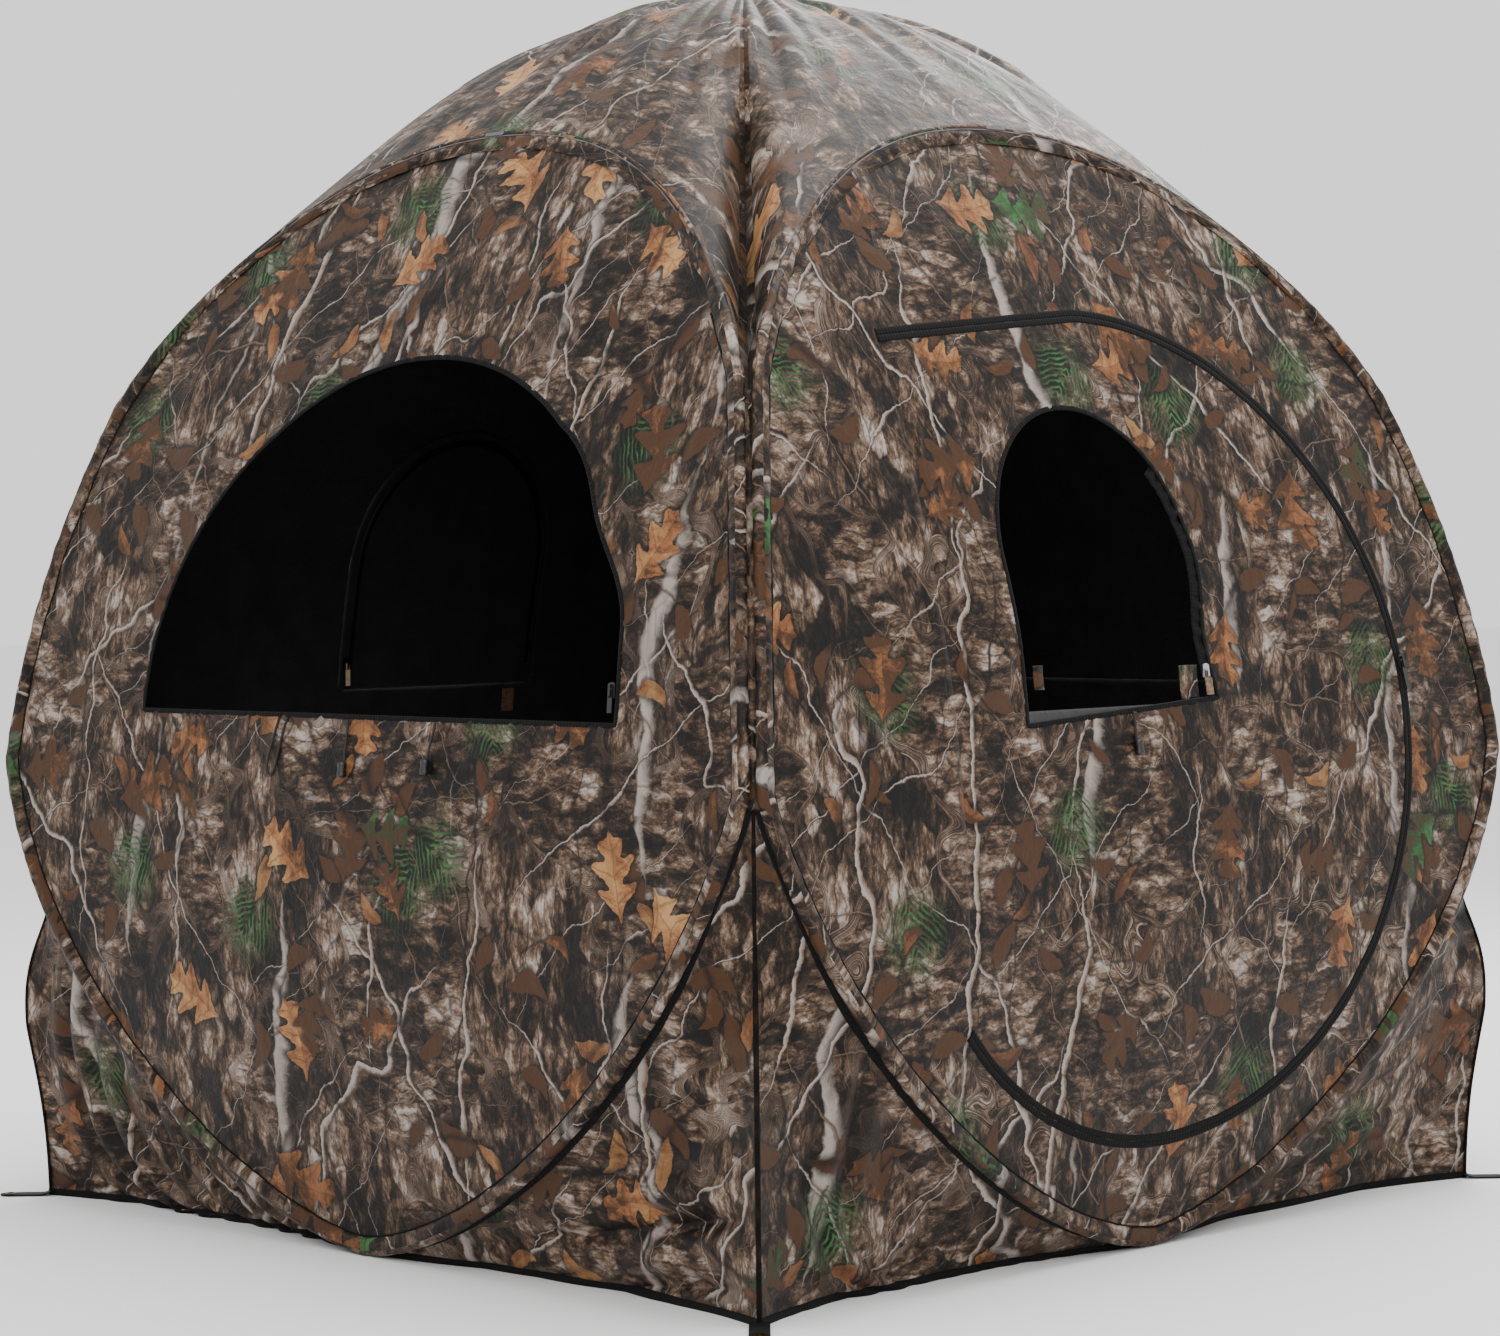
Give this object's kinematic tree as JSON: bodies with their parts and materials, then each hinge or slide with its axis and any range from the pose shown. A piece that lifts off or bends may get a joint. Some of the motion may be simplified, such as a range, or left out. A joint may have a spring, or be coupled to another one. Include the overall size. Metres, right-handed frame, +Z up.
{
  "type": "pop-up ground blind",
  "caption": "Square pop-up hide with bowed hoop walls, gored dome roof, corner gussets, zipped D-shaped door and windows with drop flaps.",
  "frame": {"origin": "centre of the footprint, on the ground", "axes": "+Z up; the front wall with the door faces -Y, and the wall with the open window faces -X"},
  "size_m": [1.53, 1.53, 1.676],
  "materials": {
    "printed_cloth": "satin, woodland print outside, black inside",
    "sleeve_cloth": "satin",
    "spring_steel": "oiled",
    "black_tape": "woven",
    "black_cloth": "woven",
    "black_zip_metal": "gloss black",
    "cream_pull": "moulded",
    "webbing": "woven",
    "eyelet_brass": "blackened",
    "elastic_cord": "braided cover",
    "toggle_plastic": "moulded"
  },
  "bodies": {
    "frame": {"wall_front": "printed_cloth", "wall_right": "printed_cloth", "wall_back": "printed_cloth", "wall_left": "printed_cloth", "roof_gore_front": "printed_cloth", "roof_gore_right": "printed_cloth", "roof_gore_back": "printed_cloth", "roof_gore_left": "printed_cloth", "hoop_front": "spring_steel", "hoop_right": "spring_steel", "hoop_back": "spring_steel", "hoop_left": "spring_steel", "hoop_sleeve_front": "sleeve_cloth", "hoop_sleeve_right": "sleeve_cloth", "hoop_sleeve_back": "sleeve_cloth", "hoop_sleeve_left": "sleeve_cloth", "corner_gusset_front_left": "printed_cloth", "corner_gusset_front_right": "printed_cloth", "corner_gusset_back_right": "printed_cloth", "corner_gusset_back_left": "printed_cloth", "hem_binding_front_left": "black_tape", "hem_binding_front_right": "black_tape", "hem_binding_back_right": "black_tape", "hem_binding_back_left": "black_tape", "hoop_ferrules": "spring_steel", "stake_loops": "webbing", "stake_eyelets": "eyelet_brass", "back_hold_tab": "printed_cloth", "door_zip_tape_wall": "black_tape", "left_window_binding": "black_tape", "right_window_binding": "black_tape", "back_window_binding": "black_tape", "elastic_loop": "elastic_cord", "toggle_cord_outer": "elastic_cord", "toggle_outer": "toggle_plastic", "toggle_cord_inner": "elastic_cord", "toggle_inner": "toggle_plastic"},
    "door": {"door_panel": "printed_cloth", "door_zip_tape_door": "black_tape", "door_window_binding": "black_tape", "door_toggle_cord": "elastic_cord", "door_toggle": "toggle_plastic"},
    "door_zip_slider": {"door_zip_slider": "black_zip_metal"},
    "door_zip_pull": {"door_zip_pull": "black_zip_metal"},
    "door_window_flap": {"door_window_flap": "black_cloth"},
    "door_window_slider": {"door_window_slider": "black_zip_metal"},
    "door_window_pull": {"door_window_pull": "printed_cloth"},
    "left_window_flap": {"left_window_flap": "black_cloth"},
    "left_window_slider": {"left_window_slider": "black_zip_metal"},
    "left_window_pull": {"left_window_pull": "black_zip_metal"},
    "right_window_flap": {"right_window_flap": "black_cloth"},
    "right_window_slider": {"right_window_slider": "black_zip_metal"},
    "right_window_pull": {"right_window_pull": "cream_pull"},
    "back_window_flap": {"back_window_flap": "black_cloth"},
    "back_window_slider": {"back_window_slider": "black_zip_metal"},
    "back_window_pull": {"back_window_pull": "cream_pull"}
  },
  "joints": [
    {"name": "door_swing", "type": "hinge", "parent": "frame", "child": "door", "pos_m": [-0.39, -0.7318, 0.7365], "axis": [0, -0.1583, -0.9874], "range_deg": [0, 110]},
    {"name": "door_zip_travel", "type": "hinge", "parent": "door", "child": "door_zip_slider", "pos_m": [0.01484, -0.61881, 0.65699], "axis": [-0.2383, -0.9635, 0.1217], "range_deg": [-45, 38]},
    {"name": "door_zip_pull_swing", "type": "hinge", "parent": "door_zip_slider", "child": "door_zip_pull", "pos_m": [0.52605, -0.73951, 0.73577], "axis": [-0.9925, -0.0192, -0.1204], "range_deg": [0, 150]},
    {"name": "door_window_flap_fold", "type": "hinge", "parent": "door", "child": "door_window_flap", "pos_m": [0, -0.735, 0.693], "axis": [1, 0, 0], "range_deg": [0, 160]},
    {"name": "door_window_zip_travel", "type": "hinge", "parent": "door", "child": "door_window_slider", "pos_m": [0, 1.243, 0.42], "axis": [-1, 0, 0], "range_deg": [0, 4.4]},
    {"name": "door_window_pull_swing", "type": "hinge", "parent": "door_window_slider", "child": "door_window_pull", "pos_m": [0.102, -0.735, 0.73547], "axis": [-1, 0, 0], "range_deg": [0, 150]},
    {"name": "left_window_flap_fold", "type": "hinge", "parent": "frame", "child": "left_window_flap", "pos_m": [-0.735, 0, 0.693], "axis": [0, -1, 0], "range_deg": [0, 160]},
    {"name": "left_window_zip_travel", "type": "hinge", "parent": "frame", "child": "left_window_slider", "pos_m": [-0.6592, -0.04828, 0.67985], "axis": [-0.9741, 0.1733, 0.1455], "range_deg": [0, 40]},
    {"name": "left_window_pull_swing", "type": "hinge", "parent": "left_window_slider", "child": "left_window_pull", "pos_m": [-0.73515, -0.49725, 0.73452], "axis": [-0.0137, 0.9962, -0.0861], "range_deg": [0, 150]},
    {"name": "right_window_flap_fold", "type": "hinge", "parent": "frame", "child": "right_window_flap", "pos_m": [0.735, 0, 0.693], "axis": [0, -1, 0], "range_deg": [0, 125]},
    {"name": "right_window_zip_travel", "type": "hinge", "parent": "right_window_flap", "child": "right_window_slider", "pos_m": [0.65282, -0.02843, 0.67874], "axis": [0.9735, -0.1762, 0.1456], "range_deg": [0, 40]},
    {"name": "right_window_pull_swing", "type": "hinge", "parent": "right_window_slider", "child": "right_window_pull", "pos_m": [0.72289, 0.42722, 0.73328], "axis": [-0.0137, 0.9962, 0.0861], "range_deg": [-5, 140]},
    {"name": "back_window_flap_fold", "type": "hinge", "parent": "frame", "child": "back_window_flap", "pos_m": [0, 0.735, 0.693], "axis": [1, 0, 0], "range_deg": [0, 130]},
    {"name": "back_window_zip_travel", "type": "hinge", "parent": "back_window_flap", "child": "back_window_slider", "pos_m": [0, -1.243, 0.42], "axis": [1, 0, 0], "range_deg": [0, 4.4]},
    {"name": "back_window_pull_swing", "type": "hinge", "parent": "back_window_slider", "child": "back_window_pull", "pos_m": [-0.143, 0.72384, 0.73369], "axis": [-1, 0, 0], "range_deg": [-5, 140]}
  ]
}
